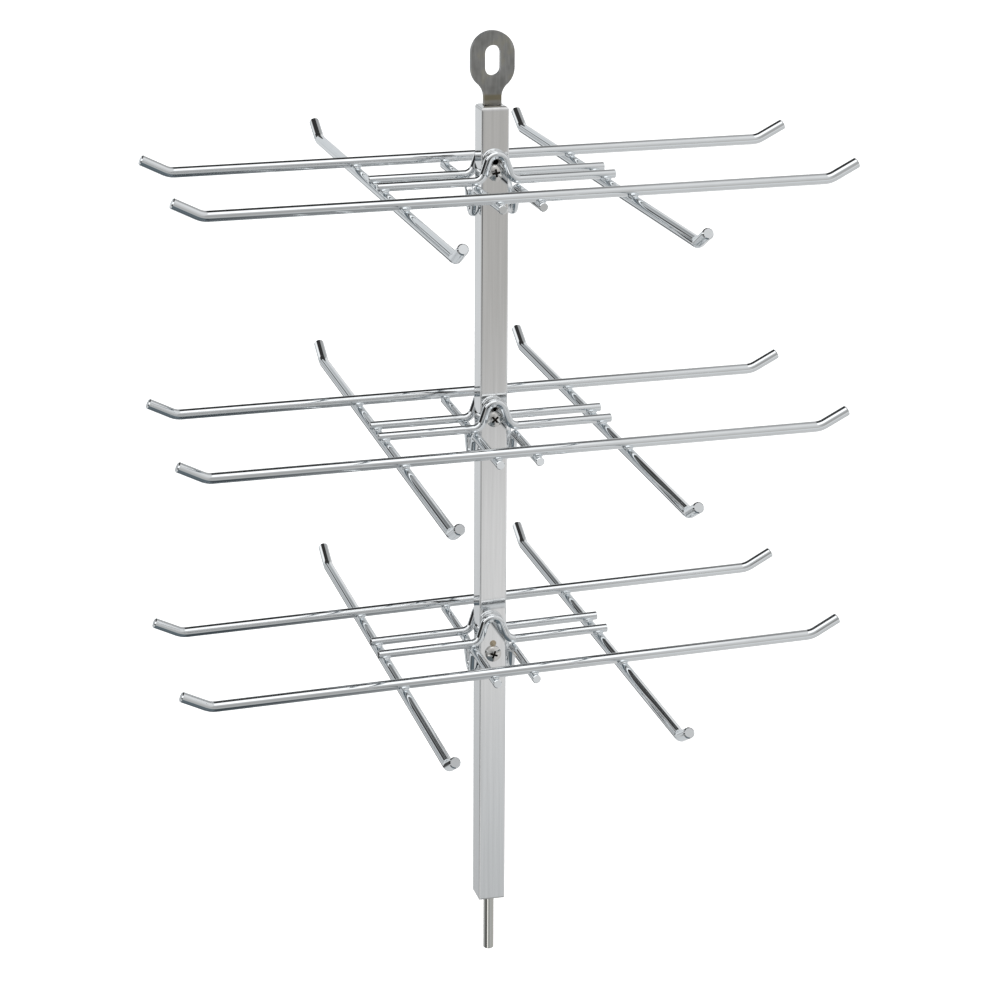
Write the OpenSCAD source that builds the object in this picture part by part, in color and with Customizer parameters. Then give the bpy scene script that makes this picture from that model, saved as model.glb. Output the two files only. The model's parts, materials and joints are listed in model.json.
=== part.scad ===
// Hanging display rack. A flat eye hangs on a hook, and a square post turns
// below it on a short spindle. Three loose wire racks drop over the post and
// rest on round-headed screws. The origin is where the hook bears, at the top
// of the slot in the eye. +Z is up and -Y is the front.

/* [Post] */
// Outer width of the square post
post_w = 20.6; // [18:0.1:24]
// Length of the post, caps included
post_len = 618; // [560:1:680]
// Wall thickness of the post
post_wall = 1.5; // [1.2:0.1:2]
// Outer corner radius of the post
post_corner = 1.2; // [0.8:0.1:1.4]
// Thickness of the top cap's and bottom cap's flange
cap_flange = 4; // [3:0.5:6]
// Rounding of the top cap's and bottom cap's outer edge
cap_round = [3, 1.5]; // [0.3:0.1:3]
// Depth of each cap's plug inside the post
plug_depth = 12; // [10:1:18]

/* [Eye] */
// Thickness of the eye plate
eye_t = 5; // [4:0.5:6]
// Outer radius of the eye
eye_r = 16; // [14:0.25:18]
// Half width of the slot in the eye
slot_r = 5.8; // [5:0.1:7]
// Distance between the slot's two end centres
slot_pitch = 10.4; // [8:0.1:14]
// Width of the eye's neck
neck_w = 12.7; // [11:0.1:14]
// Radius of the hollow between the eye and its neck
neck_fillet = 12; // [11:0.5:15]
// Height of the eye plate above its lower end
eye_height = 52.6; // [52:0.1:58]

/* [Swivel] */
// Diameter of the spindle where the bush runs on it
spindle_d = 10; // [8.5:0.5:10.5]
// Diameter of the spindle's lower end, which carries the lock nut
thread_d = 8; // [7:0.5:8]
// Gap between the eye's lower end and the top cap
neck_gap = 0.7; // [0.5:0.1:1.5]
// Radial running clearance of the spindle in its bush
run_fit = 0.05; // [0.02:0.01:0.08]
// Thickness of the thrust washer and of the bush's flange
washer_t = 2; // [1.5:0.5:2.5]
// Height of the lock nut
nut_h = 8; // [6:0.5:9]
// Width of the lock nut across its flats
nut_af = 13; // [11:0.5:13.5]

/* [Foot pin] */
// Diameter of the pin below the post
pin_d = 8; // [6:0.5:10]
// Length of the pin below the post
pin_len = 45; // [35:1:60]
// Diameter of the pin's spigot inside the bottom cap
spigot_d = 6; // [5:0.5:7]

/* [Rack screws] */
// Depth of the first screw below the post's top
screw_drop = 47.4; // [44:0.1:60]
// Spacing between the screws down the post
screw_pitch = 184; // [170:1:200]
// Diameter of a screw head
head_d = 12; // [10:0.5:12.5]
// Turn of the cross recess in the upper, middle and lower screw
cross_turn = [10, 42, 70]; // [0:1:89]
// Length, width and depth of each arm of the cross recess
recess = [6, 1.6, 2.2]; // [0.5:0.1:8]
// Height of a screw head
head_h = 3.8; // [3:0.1:4.2]
// Radius of a screw head's dome
dome_r = 10; // [8:0.5:14]
// Diameter of a screw's shank
shank_d = 6; // [5:0.5:6]
// Diameter of the spare hole above each screw
spare_d = 5; // [4:0.5:6]
// Height of the spare hole above its screw
spare_rise = 8; // [7.5:0.1:12]

/* [Racks] */
// Diameter of the long rods
rod_d = 8; // [7:0.5:9]
// Distance from a rod's middle to the corner of its upturned tip
rod_half = 226.5; // [150:0.5:300]
// Length of the upturned tip
tip_len = 23.5; // [18:0.5:30]
// Angle of the upturned tip above the rod
tip_angle = 27; // [15:1:45]
// Bend radius of the upturned tip, at the wire's middle
tip_bend = 16; // [10:1:20]
// Chamfer round the end of a long rod
tip_chamfer = 0.8; // [0.3:0.1:1.5]
// Distance from the post's axis to each long rod
rod_offset = 82.5; // [60:0.5:110]
// How far the front and rear rods sit off centre to the right
row_slip = [2, 4]; // [0:0.5:6]
// How far the left and right rods sit off centre towards the front
column_slip = 1.5; // [0:0.5:4]
// Diameter of the short link wires
link_d = 6.5; // [5:0.5:7]
// Half length of a link wire
link_half = 88.5; // [80:0.5:120]
// Distance from the post's axis to each link
link_offset = 14.7; // [14:0.1:16]
// Height of the hump in a link
hump_h = 18.7; // [17:0.1:22]
// Bend radius at the top of the hump
hump_r = 6.7; // [6:0.1:8]
// Bend radius at the feet of the hump
foot_r = 8; // [6:0.5:10]
// Lean of the hump's legs from upright
leg_lean = 20; // [15:1:25]
// Depth that crossing wires are welded into each other
weld_sink = 0.3; // [0.1:0.1:0.4]
// How far the links hang below the screw they rest on
hang = 5.2; // [4.5:0.1:6]
// How far the lowest rack stands above its resting place
raised = 16.5; // [0:0.5:20]
// Lean of the upper, middle and lower rack, left end down
lean = [0.8, 1.2, 2.5]; // [0:0.1:2.5]
// Tilt of each rack, front end down when positive
nod = [-0.4, 0.5, -0.4]; // [-0.5:0.1:0.5]
// Turn of each rack on the post, anticlockwise from above
turn = [0.4, 0, -0.5]; // [-0.5:0.1:0.5]
// Sideways play taken up by the upper, middle and lower rack, to the right when positive
shift = [0.2, 0, -0.6]; // [-0.6:0.1:0.6]

/* [Hidden] */
$fn = 64;
eps = 0.01;
gap = 0.3;
chamfer = 0.5;
// A wire is a hair thinner in its bends, and the straights reach a little way into them
bend_neck = 0.02;
lap = 0.2;
// The hollows beside the eye's neck run this far past tangency, so that they meet it cleanly
fillet_lap = 0.005;
post_top = -(neck_gap + eye_height - eye_r + slot_r);
post_bottom = post_top - post_len;
inner_w = post_w - 2 * post_wall;
plug_w = inner_w - 0.2;
bush_r = spindle_d / 2 + 2;
sleeve_d = shank_d + 2;
rod_r = rod_d / 2;
link_r = link_d / 2;
// Wire layers, measured from the middle of the rods that run left and right
layer_b = -(rod_d - weld_sink);
layer_front_link = layer_b + rod_r + link_r - weld_sink;
layer_side_link = -(rod_r + link_r - weld_sink);
screw_z = [for (i = [0:2]) post_top - screw_drop - i * screw_pitch];
rack_z = [for (i = [0:2]) screw_z[i] - hang - layer_front_link + (i == 2 ? raised : 0)];

// ---- shared shapes ----

module rounded_square(w, r) {
    square([w - 2 * r, w], center = true);
    square([w, w - 2 * r], center = true);
    for (x = [-1, 1], y = [-1, 1])
        translate([x * (w / 2 - r), y * (w / 2 - r)]) circle(r = r);
}

// Side view of a flange that lies below z = 0, with both upper corners rounded
module flange_profile(w, h, r) {
    translate([-w / 2, -h]) square([w, h - r]);
    translate([-w / 2 + r, -h]) square([w - 2 * r, h]);
    for (x = [-1, 1]) translate([x * (w / 2 - r), -r]) circle(r = r);
}

// Square flange with its upper edges rounded, top face at z = 0
module pillow_flange(w, h, r) {
    intersection() {
        translate([0, 0, -h]) linear_extrude(h) rounded_square(w, post_corner);
        rotate([90, 0, 0]) linear_extrude(w, center = true) flange_profile(w, h, r);
        rotate([90, 0, 90]) linear_extrude(w, center = true) flange_profile(w, h, r);
    }
}

// Round bar along +X that ends at len with a chamfer of c, and starts at the origin less its lap
module bar(r, len, c, start = 0) {
    rotate([0, 90, 0]) {
        translate([0, 0, -start]) cylinder(r = r, h = len - c + start);
        translate([0, 0, len - c]) cylinder(r1 = r, r2 = r - c, h = c);
    }
}

// Part of a bent wire in the XZ plane, from angle a0 to angle a1 about the origin
module wire_arc(bend_r, r, a0, a1) {
    rotate([90, 0, 0]) rotate([0, 0, a0])
        rotate_extrude(angle = a1 - a0) translate([bend_r, 0]) circle(r = r - bend_neck);
}

// ---- wires of a rack ----

// Long rod along X with both ends turned up
module long_rod() {
    setback = tip_bend * tan(tip_angle / 2);
    straight = rod_half - setback;
    rotate([0, 90, 0]) cylinder(r = rod_r, h = 2 * (straight + lap), center = true);
    for (side = [0, 1]) mirror([side, 0, 0]) translate([straight, 0, 0]) {
        translate([0, 0, tip_bend]) wire_arc(tip_bend, rod_r, -90, -90 + tip_angle);
        translate([tip_bend * sin(tip_angle), 0, tip_bend * (1 - cos(tip_angle))])
            rotate([0, -tip_angle, 0]) bar(rod_r, tip_len - setback, tip_chamfer, lap);
    }
}

// Short wire along X with an upright hump in its middle
module link_wire() {
    top_x = hump_r * cos(leg_lean);
    top_z = hump_h - hump_r + hump_r * sin(leg_lean);
    foot_x = top_x + (foot_r - (foot_r - top_z) * sin(leg_lean)) / cos(leg_lean);
    leg = norm([foot_x - foot_r * cos(leg_lean) - top_x, foot_r * (1 - sin(leg_lean)) - top_z]);
    translate([0, 0, hump_h - hump_r]) wire_arc(hump_r, link_r, leg_lean, 180 - leg_lean);
    for (side = [0, 1]) mirror([side, 0, 0]) {
        translate([top_x, 0, top_z]) rotate([0, 180 - leg_lean, 0]) translate([0, 0, -lap])
            cylinder(r = link_r, h = leg + 2 * lap);
        translate([foot_x, 0, foot_r]) wire_arc(foot_r, link_r, 180 + leg_lean, 270);
        translate([foot_x, 0, 0]) bar(link_r, link_half - foot_x, chamfer, lap);
    }
}

// Puts a wire of the rack on one tier: 0 upper, 1 middle, 2 lower
module on_rack(tier) {
    translate([shift[tier], 0, rack_z[tier]])
        rotate([0, 0, turn[tier]]) rotate([nod[tier], 0, 0]) rotate([0, -lean[tier], 0]) children();
}

module front_rod(tier) {
    color("lightsteelblue") on_rack(tier) translate([row_slip[0], -rod_offset, 0]) long_rod();
}

module rear_rod(tier) {
    color("lightsteelblue") on_rack(tier) translate([row_slip[1], rod_offset, 0]) long_rod();
}

module left_rod(tier) {
    color("silver") on_rack(tier) translate([-rod_offset, -column_slip, layer_b])
        rotate([0, 0, 90]) long_rod();
}

module right_rod(tier) {
    color("silver") on_rack(tier) translate([rod_offset, -column_slip, layer_b])
        rotate([0, 0, 90]) long_rod();
}

module front_link(tier) {
    color("gainsboro") on_rack(tier) translate([0, -link_offset, layer_front_link]) link_wire();
}

module rear_link(tier) {
    color("gainsboro") on_rack(tier) translate([0, link_offset, layer_front_link]) link_wire();
}

// The side links hang their humps down beside the post
module side_link(tier, side) {
    color("lightgray") on_rack(tier) translate([side * link_offset, 0, layer_side_link])
        rotate([0, 0, 90]) mirror([0, 0, 1]) link_wire();
}

// ---- eye and swivel ----

// Round-ended slot shape along y, from centre height y0 to centre height y1
module stadium(r, y0, y1) {
    translate([0, y0]) circle(r = r);
    translate([0, y1]) circle(r = r);
    translate([-r, y0]) square([2 * r, y1 - y0]);
}

// Outline of the eye, with its lower end at y = 0
module eye_outline() {
    upper = eye_height - eye_r;
    lower = upper - slot_pitch;
    fillet_x = neck_w / 2 + neck_fillet - fillet_lap;
    reach = eye_r + neck_fillet - fillet_lap;
    fillet_y = lower - sqrt(pow(reach, 2) - pow(fillet_x, 2));
    difference() {
        union() {
            stadium(eye_r, lower, upper);
            translate([-neck_w / 2, 0]) square([neck_w, lower]);
            difference() {
                polygon([[-fillet_x, fillet_y], [fillet_x, fillet_y], [0, lower]]);
                for (x = [-1, 1]) translate([x * fillet_x, fillet_y]) circle(r = neck_fillet);
            }
        }
        stadium(slot_r, lower, upper);
    }
}

module eye_plate() {
    color("gray") translate([0, 0, post_top + neck_gap])
        rotate([90, 0, 0]) linear_extrude(eye_t, center = true) eye_outline();
}

// Plain journal down to the thrust washer, then a thinner end for the washer and nut
module spindle() {
    journal = neck_gap + cap_flange + plug_depth + washer_t + gap;
    below = washer_t + nut_h + 2;
    color("dimgray") translate([0, 0, post_top + neck_gap - journal]) {
        cylinder(d = spindle_d, h = journal);
        rotate([0, 90, 0]) bar(thread_d / 2, below, chamfer);
    }
}

module thrust_washer() {
    top = post_top - cap_flange - plug_depth - washer_t - gap;
    color("goldenrod") translate([0, 0, top - washer_t]) difference() {
        cylinder(r = inner_w / 2 - 0.5, h = washer_t);
        translate([0, 0, -1]) cylinder(d = thread_d, h = washer_t + 2);
    }
}

module lock_nut() {
    top = post_top - cap_flange - plug_depth - 2 * washer_t - gap;
    color("darkgray") translate([0, 0, top - nut_h]) difference() {
        cylinder(r = nut_af / sqrt(3), h = nut_h, $fn = 6);
        translate([0, 0, -1]) cylinder(d = thread_d, h = nut_h + 2);
    }
}

// ---- post ----

module post_tube() {
    color("silver") difference() {
        translate([0, 0, post_bottom + cap_flange])
            linear_extrude(post_len - 2 * cap_flange) difference() {
                rounded_square(post_w, post_corner);
                square(inner_w, center = true);
            }
        for (z = screw_z) {
            translate([0, 0, z]) rotate([90, 0, 0]) cylinder(d = shank_d + 0.4, h = post_w);
            translate([0, 0, z]) rotate([-90, 0, 0]) cylinder(d = sleeve_d + 0.2, h = post_w);
            translate([0, 0, z + spare_rise]) rotate([90, 0, 0])
                cylinder(d = spare_d, h = 2 * post_w, center = true);
        }
    }
}

module top_cap() {
    color("gainsboro") translate([0, 0, post_top]) difference() {
        union() {
            pillow_flange(post_w, cap_flange, cap_round[0]);
            translate([-plug_w / 2, -plug_w / 2, -cap_flange - plug_depth])
                cube([plug_w, plug_w, plug_depth + 1]);
        }
        translate([0, 0, -cap_flange - plug_depth - 1])
            cylinder(r = bush_r, h = cap_flange + plug_depth + 2);
    }
}

module swivel_bush() {
    sleeve = cap_flange + plug_depth;
    color("peru") translate([0, 0, post_top - sleeve]) difference() {
        union() {
            cylinder(r = bush_r, h = sleeve);
            translate([0, 0, -washer_t]) cylinder(r = inner_w / 2 - 0.5, h = washer_t);
        }
        translate([0, 0, -washer_t - 1])
            cylinder(r = spindle_d / 2 + run_fit, h = sleeve + washer_t + 2);
    }
}

module bottom_cap() {
    color("gainsboro") translate([0, 0, post_bottom]) difference() {
        union() {
            mirror([0, 0, 1]) pillow_flange(post_w, cap_flange, cap_round[1]);
            translate([-plug_w / 2, -plug_w / 2, cap_flange - 1])
                cube([plug_w, plug_w, plug_depth + 1]);
        }
        translate([0, 0, -1]) cylinder(d = spigot_d, h = cap_flange + plug_depth + 2);
    }
}

// Guide pin that shoulders against the bottom cap, on a thinner spigot
module foot_pin() {
    color("gray") translate([0, 0, post_bottom]) {
        rotate([0, 90, 0]) bar(pin_d / 2, pin_len, chamfer);
        cylinder(d = spigot_d, h = cap_flange + plug_depth);
    }
}

// ---- rack screws ----

// Pan head standing on the XY plane
module pan_head() {
    intersection() {
        cylinder(d = head_d, h = head_h);
        translate([0, 0, head_h - dome_r]) sphere(r = dome_r, $fn = 96);
    }
}

module rack_screw(tier) {
    color("darkgray") translate([0, -post_w / 2, screw_z[tier]]) rotate([90, 0, 0]) {
        difference() {
            pan_head();
            for (arm = [0, 90]) rotate([0, 0, arm + cross_turn[tier]])
                translate([-recess[0] / 2, -recess[1] / 2, head_h - recess[2]]) cube(recess);
        }
        translate([0, 0, -post_w + 3]) cylinder(d = shank_d, h = post_w - 3 + eps);
    }
}

module sleeve_nut(tier) {
    barrel = post_w - post_wall - 1;
    color("darkgray") translate([0, post_w / 2, screw_z[tier]]) rotate([-90, 0, 0]) difference() {
        union() {
            pan_head();
            translate([0, 0, -barrel]) cylinder(d = sleeve_d, h = barrel + eps);
        }
        translate([0, 0, -barrel - 1]) cylinder(d = shank_d + 0.1, h = barrel - 1);
    }
}

// ---- nodes ----

eye_plate();
spindle();
thrust_washer();
lock_nut();
post_tube();
top_cap();
swivel_bush();
bottom_cap();
foot_pin();
rack_screw(0);  // upper_screw
rack_screw(1);  // middle_screw
rack_screw(2);  // lower_screw
sleeve_nut(0);  // upper_sleeve_nut
sleeve_nut(1);  // middle_sleeve_nut
sleeve_nut(2);  // lower_sleeve_nut
front_rod(0);  // upper_front_rod
rear_rod(0);  // upper_rear_rod
left_rod(0);  // upper_left_rod
right_rod(0);  // upper_right_rod
front_link(0);  // upper_front_link
rear_link(0);  // upper_rear_link
side_link(0, -1);  // upper_left_link
side_link(0, 1);  // upper_right_link
front_rod(1);  // middle_front_rod
rear_rod(1);  // middle_rear_rod
left_rod(1);  // middle_left_rod
right_rod(1);  // middle_right_rod
front_link(1);  // middle_front_link
rear_link(1);  // middle_rear_link
side_link(1, -1);  // middle_left_link
side_link(1, 1);  // middle_right_link
front_rod(2);  // lower_front_rod
rear_rod(2);  // lower_rear_rod
left_rod(2);  // lower_left_rod
right_rod(2);  // lower_right_rod
front_link(2);  // lower_front_link
rear_link(2);  // lower_rear_link
side_link(2, -1);  // lower_left_link
side_link(2, 1);  // lower_right_link
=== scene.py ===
import json
import math
import bmesh
import bpy
import numpy as np
from mathutils import Matrix, Vector, noise


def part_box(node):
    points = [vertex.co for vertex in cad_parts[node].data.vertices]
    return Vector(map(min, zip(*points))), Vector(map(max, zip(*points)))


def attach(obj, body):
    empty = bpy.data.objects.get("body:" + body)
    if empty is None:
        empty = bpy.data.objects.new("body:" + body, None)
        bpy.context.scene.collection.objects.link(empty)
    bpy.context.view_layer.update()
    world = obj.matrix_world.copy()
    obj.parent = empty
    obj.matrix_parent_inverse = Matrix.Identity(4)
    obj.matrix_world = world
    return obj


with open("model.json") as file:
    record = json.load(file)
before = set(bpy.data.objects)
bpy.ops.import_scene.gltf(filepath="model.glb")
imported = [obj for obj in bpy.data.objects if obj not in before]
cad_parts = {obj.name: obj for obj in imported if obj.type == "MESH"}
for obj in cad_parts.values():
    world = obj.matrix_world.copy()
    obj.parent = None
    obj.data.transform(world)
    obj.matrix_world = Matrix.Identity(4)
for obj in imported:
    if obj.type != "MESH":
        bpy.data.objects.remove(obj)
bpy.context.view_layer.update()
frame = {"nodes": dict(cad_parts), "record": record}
nodes = frame["nodes"]
POST_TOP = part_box("top_cap")[1].z


# ---------------------------------------------------------------- node helpers

def new_material(name):
    mat = bpy.data.materials.new(name)
    mat.use_nodes = True
    tree = mat.node_tree
    tree.nodes.clear()
    out = tree.nodes.new("ShaderNodeOutputMaterial")
    shader = tree.nodes.new("ShaderNodeBsdfPrincipled")
    tree.links.new(shader.outputs["BSDF"], out.inputs["Surface"])
    return mat, tree, shader


def add(tree, kind, **values):
    node = tree.nodes.new(kind)
    for key, value in values.items():
        if key in node.inputs:
            node.inputs[key].default_value = value
        else:
            setattr(node, key, value)
    return node


def stretched_noise(tree, scale, stretch, detail=3.0):
    """Noise in object space, drawn out by the given factors along each axis."""
    mapping = add(tree, "ShaderNodeMapping")
    mapping.inputs["Scale"].default_value = stretch
    tree.links.new(object_place(tree), mapping.inputs["Vector"])
    texture = add(tree, "ShaderNodeTexNoise", Scale=scale, Detail=detail)
    tree.links.new(mapping.outputs["Vector"], texture.inputs["Vector"])
    return texture


def ramp(tree, source, stops):
    node = add(tree, "ShaderNodeValToRGB")
    elements = node.color_ramp.elements
    while len(elements) < len(stops):
        elements.new(0.5)
    for element, (place, colour) in zip(elements, stops):
        element.position = place
        element.color = colour
    tree.links.new(source, node.inputs["Fac"])
    return node


def grey(v, tint=(1.0, 1.0, 1.0)):
    return (v * tint[0], v * tint[1], v * tint[2], 1.0)


def blend_colours(tree, factor, first, second):
    mix = add(tree, "ShaderNodeMix", data_type="RGBA")
    tree.links.new(factor, mix.inputs["Factor"])
    tree.links.new(first, mix.inputs["A"])
    tree.links.new(second, mix.inputs["B"])
    return mix.outputs["Result"]


def math_node(tree, operation, first, second):
    node = add(tree, "ShaderNodeMath", operation=operation)
    for socket, value in zip(node.inputs, (first, second)):
        if isinstance(value, float):
            socket.default_value = value
        else:
            tree.links.new(value, socket)
    return node.outputs[0]


def solid_colour(tree, colour):
    node = add(tree, "ShaderNodeRGB")
    node.outputs[0].default_value = colour
    return node.outputs[0]


def rescaled(tree, source, start, end):
    """0 where the source is at its start value, and 1 where it is at its end value."""
    node = add(tree, "ShaderNodeMapRange")
    node.inputs["From Min"].default_value = start
    node.inputs["From Max"].default_value = end
    tree.links.new(source, node.inputs["Value"])
    return node.outputs["Result"]


def axes(tree, vector):
    node = add(tree, "ShaderNodeSeparateXYZ")
    tree.links.new(vector, node.inputs["Vector"])
    return node.outputs["X"], node.outputs["Y"], node.outputs["Z"]


def object_place(tree):
    return add(tree, "ShaderNodeTexCoord").outputs["Object"]


def shader_of(mat):
    return next(n for n in mat.node_tree.nodes if n.type == "BSDF_PRINCIPLED")


def feeding(socket):
    """The socket that a shader's input is linked from."""
    return socket.links[0].from_socket


def plated(name, base, tint, rough, rough_spread, wobble, scale, stretch, faded=0.96):
    """Bright plating: slightly uneven colour, roughness and surface."""
    mat, tree, shader = new_material(name)
    shader.inputs["Metallic"].default_value = 1.0
    fine = stretched_noise(tree, scale, stretch)
    tone = ramp(tree, fine.outputs["Fac"],
                [(0.3, grey(base * faded, tint)), (0.7, grey(base, tint))])
    tree.links.new(tone.outputs["Color"], shader.inputs["Base Color"])
    worn = ramp(tree, fine.outputs["Fac"],
                [(0.3, grey(rough)), (0.75, grey(rough + rough_spread))])
    tree.links.new(worn.outputs["Color"], shader.inputs["Roughness"])
    if wobble:
        bump = add(tree, "ShaderNodeBump", Strength=wobble, Distance=0.0002)
        slow = stretched_noise(tree, scale * 0.2, stretch, detail=1.0)
        tree.links.new(slow.outputs["Fac"], bump.inputs["Height"])
        tree.links.new(bump.outputs["Normal"], shader.inputs["Normal"])
    return mat


# ---------------------------------------------------------------- materials

COOL = (0.97, 1.0, 1.02)
SLATE = (0.82, 1.0, 1.12)
WARM = (1.0, 0.985, 0.955)
# Height of the heat tint above the eye's foot
TINT_REACH = 0.0085
# A screw head's dome, the arms of its recess, and the depths between which the recess's painted
# shade sets in
DOME_RADIUS = 0.010
RECESS_REACH, RECESS_EDGE = 0.0031, 0.0003
RECESS_SHADE_START, RECESS_SHADE_FULL = 0.00015, 0.0008
RECESS_SHADE_ROUGHNESS = 0.6
# A patch of painted shade under a hump: its size, its height above the screw, how flat it is, how
# its ragged edge fades, in patch radii with the noise added, and how much of the metal it covers
HUMP_SHADE_REACH, HUMP_SHADE_RISE, HUMP_SHADE_SQUASH = 0.0078, 0.0100, 1.4
HUMP_SHADE_CLEAR, HUMP_SHADE_FULL, HUMP_SHADE_COVER = 1.75, 1.25, 0.9
# The painted glow inside the tube: how deep it starts, how far below the middle screw, its strength
WALL_DEPTH = 0.0004
BROWN_DROP = 0.02
BROWN_GLOW = 0.22


def ground_steel(name, foot):
    """Bare ground steel with stains, fine scratches and a heat tint just above its foot."""
    mat, tree, shader = new_material(name)
    shader.inputs["Metallic"].default_value = 1.0
    stains = stretched_noise(tree, 95.0, (1.0, 1.0, 0.8), detail=2.0)
    tone = ramp(tree, stains.outputs["Fac"], [
        (0.32, (0.335, 0.335, 0.325, 1)), (0.50, (0.42, 0.42, 0.41, 1)),
        (0.60, (0.46, 0.45, 0.40, 1)), (0.72, (0.54, 0.54, 0.53, 1))])
    grain = stretched_noise(tree, 700.0, (1.0, 1.0, 0.12), detail=4.0)
    streak = ramp(tree, grain.outputs["Fac"], [(0.35, grey(0.86)), (0.65, grey(1.08))])
    ground = add(tree, "ShaderNodeMix", data_type="RGBA", blend_type="MULTIPLY")
    ground.inputs["Factor"].default_value = 1.0
    tree.links.new(tone.outputs["Color"], ground.inputs["A"])
    tree.links.new(streak.outputs["Color"], ground.inputs["B"])
    height = rescaled(tree, axes(tree, object_place(tree))[2], foot, foot + TINT_REACH)
    heated = ramp(tree, height, [(0.0, grey(0.2)), (0.35, grey(0.3)), (0.5, grey(1.0)),
                                 (0.8, grey(1.0)), (1.0, grey(0))])
    colour = blend_colours(tree, heated.outputs["Color"], ground.outputs["Result"],
                           solid_colour(tree, (0.30, 0.27, 0.19, 1)))
    tree.links.new(colour, shader.inputs["Base Color"])
    worn = ramp(tree, grain.outputs["Fac"], [(0.3, grey(0.30)), (0.7, grey(0.44))])
    tree.links.new(worn.outputs["Color"], shader.inputs["Roughness"])
    bump = add(tree, "ShaderNodeBump", Strength=0.25, Distance=0.0001)
    tree.links.new(grain.outputs["Fac"], bump.inputs["Height"])
    tree.links.new(bump.outputs["Normal"], shader.inputs["Normal"])
    return mat


def screw_metal(name):
    """Bright plating of a screw or sleeve nut, with painted shade in the cross recess."""
    mat = plated(name + "_chrome", 0.84, WARM, 0.16, 0.10, 0.05, 300.0, (1.0, 1.0, 1.0))
    tree, shader = mat.node_tree, shader_of(mat)
    low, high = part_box(name)
    outward = -1.0 if "screw" in name else 1.0
    face = low.y if outward < 0 else high.y
    dome = Vector((0.0, face - outward * DOME_RADIUS, (low.z + high.z) / 2))
    coord = object_place(tree)
    reach = add(tree, "ShaderNodeVectorMath", operation="DISTANCE")
    reach.inputs[1].default_value = dome
    tree.links.new(coord, reach.inputs[0])
    flat = add(tree, "ShaderNodeVectorMath", operation="MULTIPLY")
    flat.inputs[1].default_value = (1.0, 0.0, 1.0)
    tree.links.new(coord, flat.inputs[0])
    radius = add(tree, "ShaderNodeVectorMath", operation="DISTANCE")
    radius.inputs[1].default_value = (0.0, 0.0, dome.z)
    tree.links.new(flat.outputs[0], radius.inputs[0])
    # Painted shade: the cross recess is darkened below the dome's face, and its roughness raised.
    sunk = rescaled(tree, reach.outputs["Value"],
                    DOME_RADIUS - RECESS_SHADE_START, DOME_RADIUS - RECESS_SHADE_FULL)
    inside = rescaled(tree, radius.outputs["Value"], RECESS_REACH + RECESS_EDGE, RECESS_REACH)
    recess_shade = math_node(tree, "MULTIPLY", sunk, inside)
    for socket, shaded in ((shader.inputs["Base Color"], (0.055, 0.048, 0.04, 1)),
                          (shader.inputs["Roughness"], grey(RECESS_SHADE_ROUGHNESS))):
        blend = blend_colours(tree, recess_shade, feeding(socket), solid_colour(tree, shaded))
        tree.links.new(blend, socket)
    return mat


def post_metal(name):
    """Bright plating, with painted shade above two screws, under the humps, and a faint brown glow
    in the lower tube.
    """
    mat = plated(name, 0.92, (1, 1, 1), 0.035, 0.05, 0.10, 40.0, (12.0, 12.0, 0.25), 0.90)
    tree, shader = mat.node_tree, shader_of(mat)
    bright = feeding(shader.inputs["Base Color"])
    coord = object_place(tree)
    hump_shade = solid_colour(tree, (0.085, 0.078, 0.068, 1))
    patchy = stretched_noise(tree, 420.0, (1.0, 1.0, 1.0), detail=2.0)
    # Painted shade: the post is darkened above the upper and middle screws, where the humps shade
    # it.
    for screw in ("upper_screw", "middle_screw"):
        low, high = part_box(screw)
        place = add(tree, "ShaderNodeMapping")
        place.inputs["Location"].default_value = (
            0.0, -low.y / HUMP_SHADE_REACH, -((low.z + high.z) / 2 + HUMP_SHADE_RISE) / HUMP_SHADE_REACH * HUMP_SHADE_SQUASH)
        place.inputs["Scale"].default_value = (1 / HUMP_SHADE_REACH, 1 / HUMP_SHADE_REACH, HUMP_SHADE_SQUASH / HUMP_SHADE_REACH)
        tree.links.new(coord, place.inputs["Vector"])
        reach = add(tree, "ShaderNodeVectorMath", operation="LENGTH")
        tree.links.new(place.outputs["Vector"], reach.inputs[0])
        uneven = math_node(tree, "ADD", reach.outputs["Value"], patchy.outputs["Fac"])
        amount = math_node(tree, "MULTIPLY", rescaled(tree, uneven, HUMP_SHADE_CLEAR, HUMP_SHADE_FULL), HUMP_SHADE_COVER)
        bright = blend_colours(tree, amount, bright, hump_shade)
    tree.links.new(bright, shader.inputs["Base Color"])

    # The glow stands in for lit steel inside the tube, and shows through the lowest spare hole
    x, y, z = axes(tree, coord)
    low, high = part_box("post_tube")
    across = math_node(tree, "MAXIMUM", math_node(tree, "ABSOLUTE", x, 0.0),
                       math_node(tree, "ABSOLUTE", y, 0.0))
    inside = math_node(tree, "LESS_THAN", across, (high.x - low.x) / 2 - WALL_DEPTH)
    lower = math_node(tree, "LESS_THAN", z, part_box("middle_screw")[0].z - BROWN_DROP)
    shader.inputs["Emission Color"].default_value = (0.30, 0.255, 0.185, 1)
    glow = math_node(tree, "MULTIPLY", math_node(tree, "MULTIPLY", inside, lower), BROWN_GLOW)
    tree.links.new(glow, shader.inputs["Emission Strength"])
    return mat


def moulded_nylon(name):
    mat, tree, shader = new_material(name)
    tone = ramp(tree, stretched_noise(tree, 150.0, (1, 1, 1)).outputs["Fac"],
                [(0.3, (0.80, 0.78, 0.70, 1)), (0.7, (0.86, 0.84, 0.77, 1))])
    tree.links.new(tone.outputs["Color"], shader.inputs["Base Color"])
    shader.inputs["Roughness"].default_value = 0.5
    return mat


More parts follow.
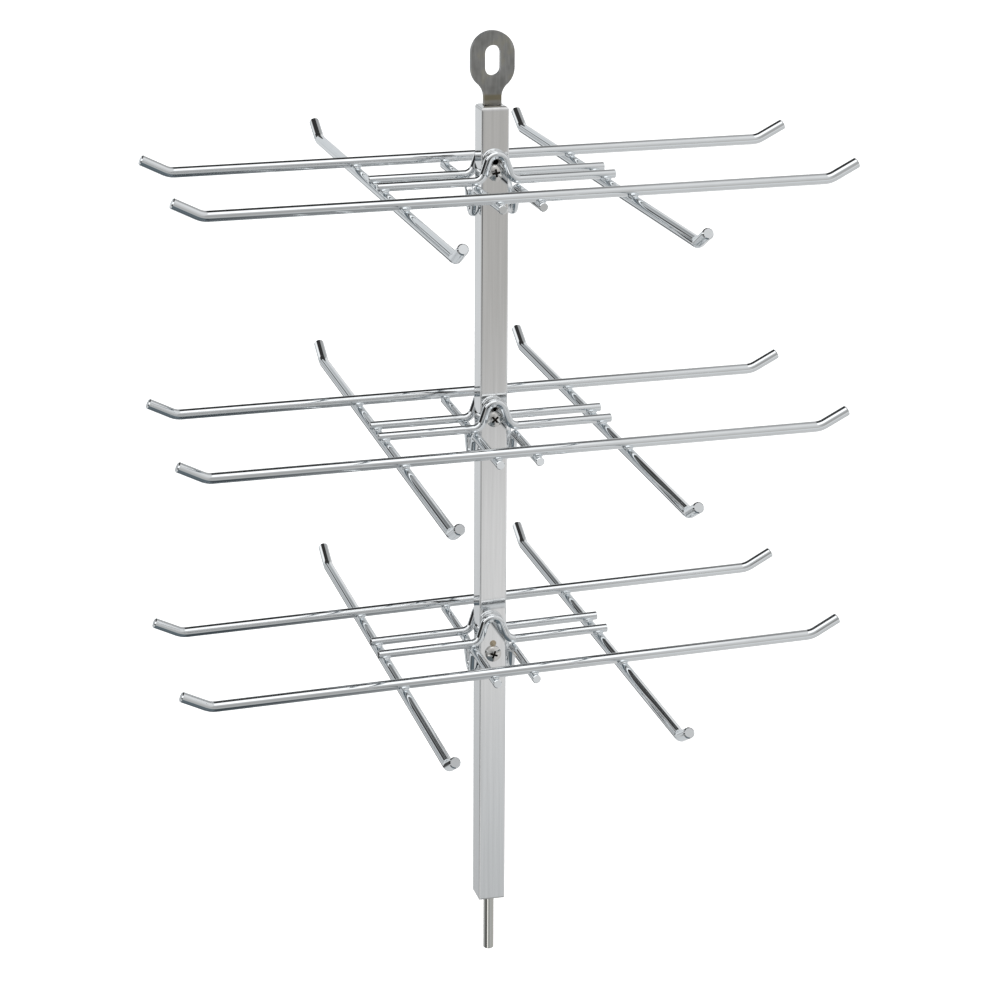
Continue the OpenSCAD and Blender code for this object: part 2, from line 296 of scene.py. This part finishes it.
wire_chrome = plated("wire_chrome", 0.93, COOL, 0.025, 0.02, 0.08, 60.0, (1.0, 1.0, 1.0))
BY_SLOT = {
    "wire_chrome": wire_chrome,
    "post_chrome": post_metal("post_chrome"),
    "plain_steel": plated("plain_steel", 0.42, WARM, 0.34, 0.10, 0.10, 90.0, (1.0, 1.0, 0.25)),
    "zinc_steel": plated("zinc_steel", 0.62, COOL, 0.30, 0.10, 0.05, 200.0, (1.0, 1.0, 1.0)),
    # The bronze is kept very dark as painted shade, so the bush reads as the shadowed gap under the
    # eye.
    "bronze": plated("bronze", 0.20, (1.0, 0.90, 0.74), 0.35, 0.08, 0.0, 200.0,
                     (1.0, 1.0, 1.0)),
    "nylon": moulded_nylon("nylon"),
}
BY_NODE = {
    "eye_plate": ground_steel("eye_steel", POST_TOP),
    "foot_pin": plated("pin_steel", 0.62, (1.0, 0.995, 0.94), 0.06, 0.05, 0.25, 60.0,
                       (1.0, 1.0, 0.3)),
}
slot_of = {s["node"]: s["material_slot"] for s in frame["record"]["subparts"]}
for name, obj in nodes.items():
    obj.data.materials.clear()
    if slot_of[name] == "screw_chrome":
        obj.data.materials.append(screw_metal(name))
    else:
        obj.data.materials.append(BY_NODE.get(name) or BY_SLOT[slot_of[name]])


# ---------------------------------------------------------------- welds

BEAD_WIDTH, BEAD_HEIGHT = 0.0031, 0.0015
# How much a bead bulges, how coarse the bulges are, and how far apart two beads' noise lies
SWELL, SWELL_SCALE, SWELL_APART = 0.12, 1.7, 900


def points(node):
    """The corners of a CAD node's mesh."""
    return np.array([tuple(v.co) for v in nodes[node].data.vertices])


def long_axis(node, towards):
    """Direction that a straight wire runs in, pointing the given way."""
    place = points(node)
    axis = np.linalg.eigh(np.cov((place - place.mean(axis=0)).T))[1][:, -1]
    return axis if axis @ np.array(towards) > 0 else -axis


def middle(node, axis):
    """Halfway between a node's two ends along an axis."""
    along = points(node) @ axis
    return (along.min() + along.max()) / 2


def weld_beads(rack):
    """Small rounded beads in the corners where the rack's wires cross."""
    across = long_axis(rack + "_front_rod", (1, 0, 0))
    back = long_axis(rack + "_left_rod", (0, 1, 0))
    up = np.cross(across, back)
    up /= np.linalg.norm(up)
    contact = (points(rack + "_front_rod") @ up).min()
    mesh = bmesh.new()
    rows = [rack + end for end in ("_front_rod", "_rear_rod", "_front_link", "_rear_link")]
    columns = [rack + end for end in ("_left_rod", "_right_rod", "_left_link", "_right_link")]
    for row in rows:
        for column in columns:
            if "link" in row and "link" in column:
                continue
            place = Vector(middle(column, across) * across + middle(row, back) * back
                           + contact * up)
            bead = bmesh.ops.create_icosphere(mesh, subdivisions=4, radius=1.0)["verts"]
            for vert in bead:
                swell = 1.0 + SWELL * noise.noise(vert.co * SWELL_SCALE + place * SWELL_APART)
                local = vert.co * swell
                vert.co = (place + Vector(across) * local.x * BEAD_WIDTH
                           + Vector(back) * local.y * BEAD_WIDTH
                           + Vector(up) * local.z * BEAD_HEIGHT)
    data = bpy.data.meshes.new(rack + "_welds")
    mesh.to_mesh(data)
    mesh.free()
    for face in data.polygons:
        face.use_smooth = True
    welds = bpy.data.objects.new(rack + "_welds", data)
    bpy.context.scene.collection.objects.link(welds)
    data.materials.append(wire_chrome)
    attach(welds, rack + "_rack")


for rack in ("upper", "middle", "lower"):
    weld_beads(rack)


# ---------------------------------------------------------------- studio

def direction_ramp(tree, source, stops, low=-1.0, high=1.0):
    """Ramp over a direction's component, with each stop given as that component."""
    return ramp(tree, rescaled(tree, source, low, high),
                [((place - low) / (high - low), colour) for place, colour in stops])


# The light that the bright metal mirrors is given here, and tuned for the photograph's view.
# To the left and ahead it has hard light and dark bands, given by the angle above the front:
# 90 is overhead, 180 and -180 are the back, and -90 is straight down.
HARD_BANDS = [
    (-180, grey(0.62, COOL)), (-165, grey(0.62, COOL)), (-160, grey(0.56, COOL)),
    (-155, grey(0.47, COOL)), (-128, grey(0.60, COOL)),
    (-114, grey(0.08, SLATE)), (-40, grey(0.05, SLATE)),
    (-30, grey(0.36, COOL)), (-26, grey(0.42, COOL)), (-9, grey(0.40, WARM)), (10, grey(0.32)),
    (38, grey(0.50)), (48, grey(1.10)), (86, grey(1.10)), (93, grey(0.03)),
    (156, grey(0.035, WARM)), (163, grey(0.62, COOL)),
]
# The same to the right, where everything is pale.
SOFT_BANDS = [
    (-180, grey(0.68)), (-128, grey(0.66)), (-90, grey(0.52)), (-46, grey(0.54)),
    (-25, grey(0.59, COOL)), (-23, grey(0.68, COOL)), (-21, grey(0.79)), (-18.5, grey(0.80)),
    (-16.5, grey(0.64)), (-14.5, grey(0.45, WARM)), (-9, grey(0.43, WARM)), (10, grey(0.50)),
    (40, grey(0.62)), (60, grey(0.72)), (92, grey(0.60)), (104, grey(0.34)), (150, grey(0.36)),
    (160, grey(0.68)),
]
# Where the hard light gives way to the soft, as the x of the direction: low down, high up
# and behind.
SOFT_BELOW, SOFT_ABOVE, SOFT_BEHIND = (0.16, 0.28), (0.205, 0.25), (0.215, 0.28)
# Cards on the left: colour, the side of the object, and the x and z of the directions that
# the card fills. A later card covers an earlier one.
CARDS = [
    (grey(0.03, COOL), "ahead", (-0.42, 0.09), (-0.24, 0.17)),
    (grey(0.58), "any", (-1.05, -0.91), (-0.50, -0.10)),
    (grey(0.02), "any", (-1.05, -0.80), (-0.02, 0.34)),
    (grey(0.15), "ahead", (-0.93, -0.66), (-0.80, -0.12)),
    (grey(1.50), "ahead", (-0.60, -0.36), (-0.47, -0.38)),
    (grey(0.13, SLATE), "ahead", (-0.60, 0.08), (-1.05, -0.53)),
    (grey(0.42, COOL), "behind", (-0.46, -0.275), (-0.26, 0.11)),
    (grey(0.90), "behind", (-0.79, -0.62), (0.10, 0.64)),
    (grey(0.04), "behind", (-0.46, -0.20), (0.18, 0.46)),
    (grey(0.05), "behind", (-0.185, -0.02), (-0.47, -0.27)),
]
# How far a card's edge fades to either side, and a limit beyond any direction's component
CARD_EDGE, OUTSIDE = 0.02, 1.1
WORLD_STRENGTH = 1.1


def world_light():
    world = bpy.data.worlds.new("studio")
    world.use_nodes = True
    bpy.context.scene.world = world
    tree = world.node_tree
    tree.nodes.clear()
    out = add(tree, "ShaderNodeOutputWorld")
    back = add(tree, "ShaderNodeBackground", Strength=WORLD_STRENGTH)
    x, y, z = axes(tree, add(tree, "ShaderNodeTexCoord").outputs["Generated"])
    turn = math_node(tree, "ARCTAN2", z, math_node(tree, "MULTIPLY", y, -1.0))

    def bands(stops):
        return direction_ramp(tree, turn, [(math.radians(a), c) for a, c in stops],
                              -math.pi, math.pi).outputs["Color"]

    def rightward(start, end):
        return direction_ramp(tree, x, [(start, grey(0)), (end, grey(1))]).outputs["Color"]

    def window(source, low, high):
        """1 between two values of a direction's component, and 0 outside them."""
        stops = [(low - CARD_EDGE, grey(0)), (low + CARD_EDGE, grey(1)),
                 (high - CARD_EDGE, grey(1)), (high + CARD_EDGE, grey(0))]
        return direction_ramp(tree, source, stops, -OUTSIDE, OUTSIDE).outputs["Color"]

    raised = bands([(-5, grey(0)), (5, grey(1))])
    beyond = bands([(90, grey(0)), (96, grey(1))])
    to_right = blend_colours(tree, raised, rightward(*SOFT_BELOW), rightward(*SOFT_ABOVE))
    to_right = blend_colours(tree, beyond, to_right, rightward(*SOFT_BEHIND))
    light = blend_colours(tree, to_right, bands(HARD_BANDS), bands(SOFT_BANDS))

    side_window = {"ahead": window(y, -1.05, 0.0), "behind": window(y, 0.0, 1.05)}
    for colour, side, across, upward in CARDS:
        cover = math_node(tree, "MULTIPLY", window(x, *across), window(z, *upward))
        if side in side_window:
            cover = math_node(tree, "MULTIPLY", side_window[side], cover)
        light = blend_colours(tree, cover, light, solid_colour(tree, colour))

    # The camera itself sees a plain white room
    seen = add(tree, "ShaderNodeLightPath")
    light = blend_colours(tree, seen.outputs["Is Camera Ray"], light,
                          solid_colour(tree, grey(1.0)))
    tree.links.new(light, back.inputs["Color"])
    tree.links.new(back.outputs[0], out.inputs["Surface"])


FLOOR_REACH, FLOOR_Z = 40.0, -1.6


def pale_floor():
    """Wide floor far below the hanging rack, which the chrome doesn't mirror."""
    mat, _, shader = new_material("pale_floor")
    shader.inputs["Base Color"].default_value = (0.95, 0.95, 0.95, 1)
    shader.inputs["Roughness"].default_value = 1.0
    shader.inputs["Emission Color"].default_value = (1, 1, 1, 1)
    shader.inputs["Emission Strength"].default_value = 0.8
    mesh = bpy.data.meshes.new("floor")
    corners = [(x * FLOOR_REACH, y * FLOOR_REACH, FLOOR_Z)
               for x, y in ((-1, -1), (1, -1), (1, 1), (-1, 1))]
    mesh.from_pydata(corners, [], [(0, 1, 2, 3)])
    floor = bpy.data.objects.new("floor", mesh)
    floor.data.materials.append(mat)
    bpy.context.scene.collection.objects.link(floor)
    floor.visible_glossy = False


world_light()
pale_floor()
bpy.context.scene.view_settings.view_transform = "Standard"


# ---------------------------------------------------------------- camera

SENSOR_WIDTH, FOCAL_LENGTH = 36.0, 109.74
# Where the camera stands, with its height counted from the post's top
STAND = Vector((-0.5245, -2.1115, 0.3754 + POST_TOP))
HEADING, PITCH, ROLL = math.radians(14.14), math.radians(-17.18), math.radians(0.31)


def camera():
    data = bpy.data.cameras.new("camera")
    data.sensor_width = SENSOR_WIDTH
    data.lens = FOCAL_LENGTH
    cam = bpy.data.objects.new("camera", data)
    bpy.context.scene.collection.objects.link(cam)
    forward = Vector((math.sin(HEADING) * math.cos(PITCH), math.cos(HEADING) * math.cos(PITCH),
                      math.sin(PITCH)))
    level = Vector((math.cos(HEADING), -math.sin(HEADING), 0))
    upward = level.cross(forward)
    right = level * math.cos(ROLL) + upward * math.sin(ROLL)
    up = upward * math.cos(ROLL) - level * math.sin(ROLL)
    turned = Matrix((right, up, -forward)).transposed().to_4x4()
    cam.matrix_world = Matrix.Translation(STAND) @ turned
    bpy.context.scene.camera = cam


camera()
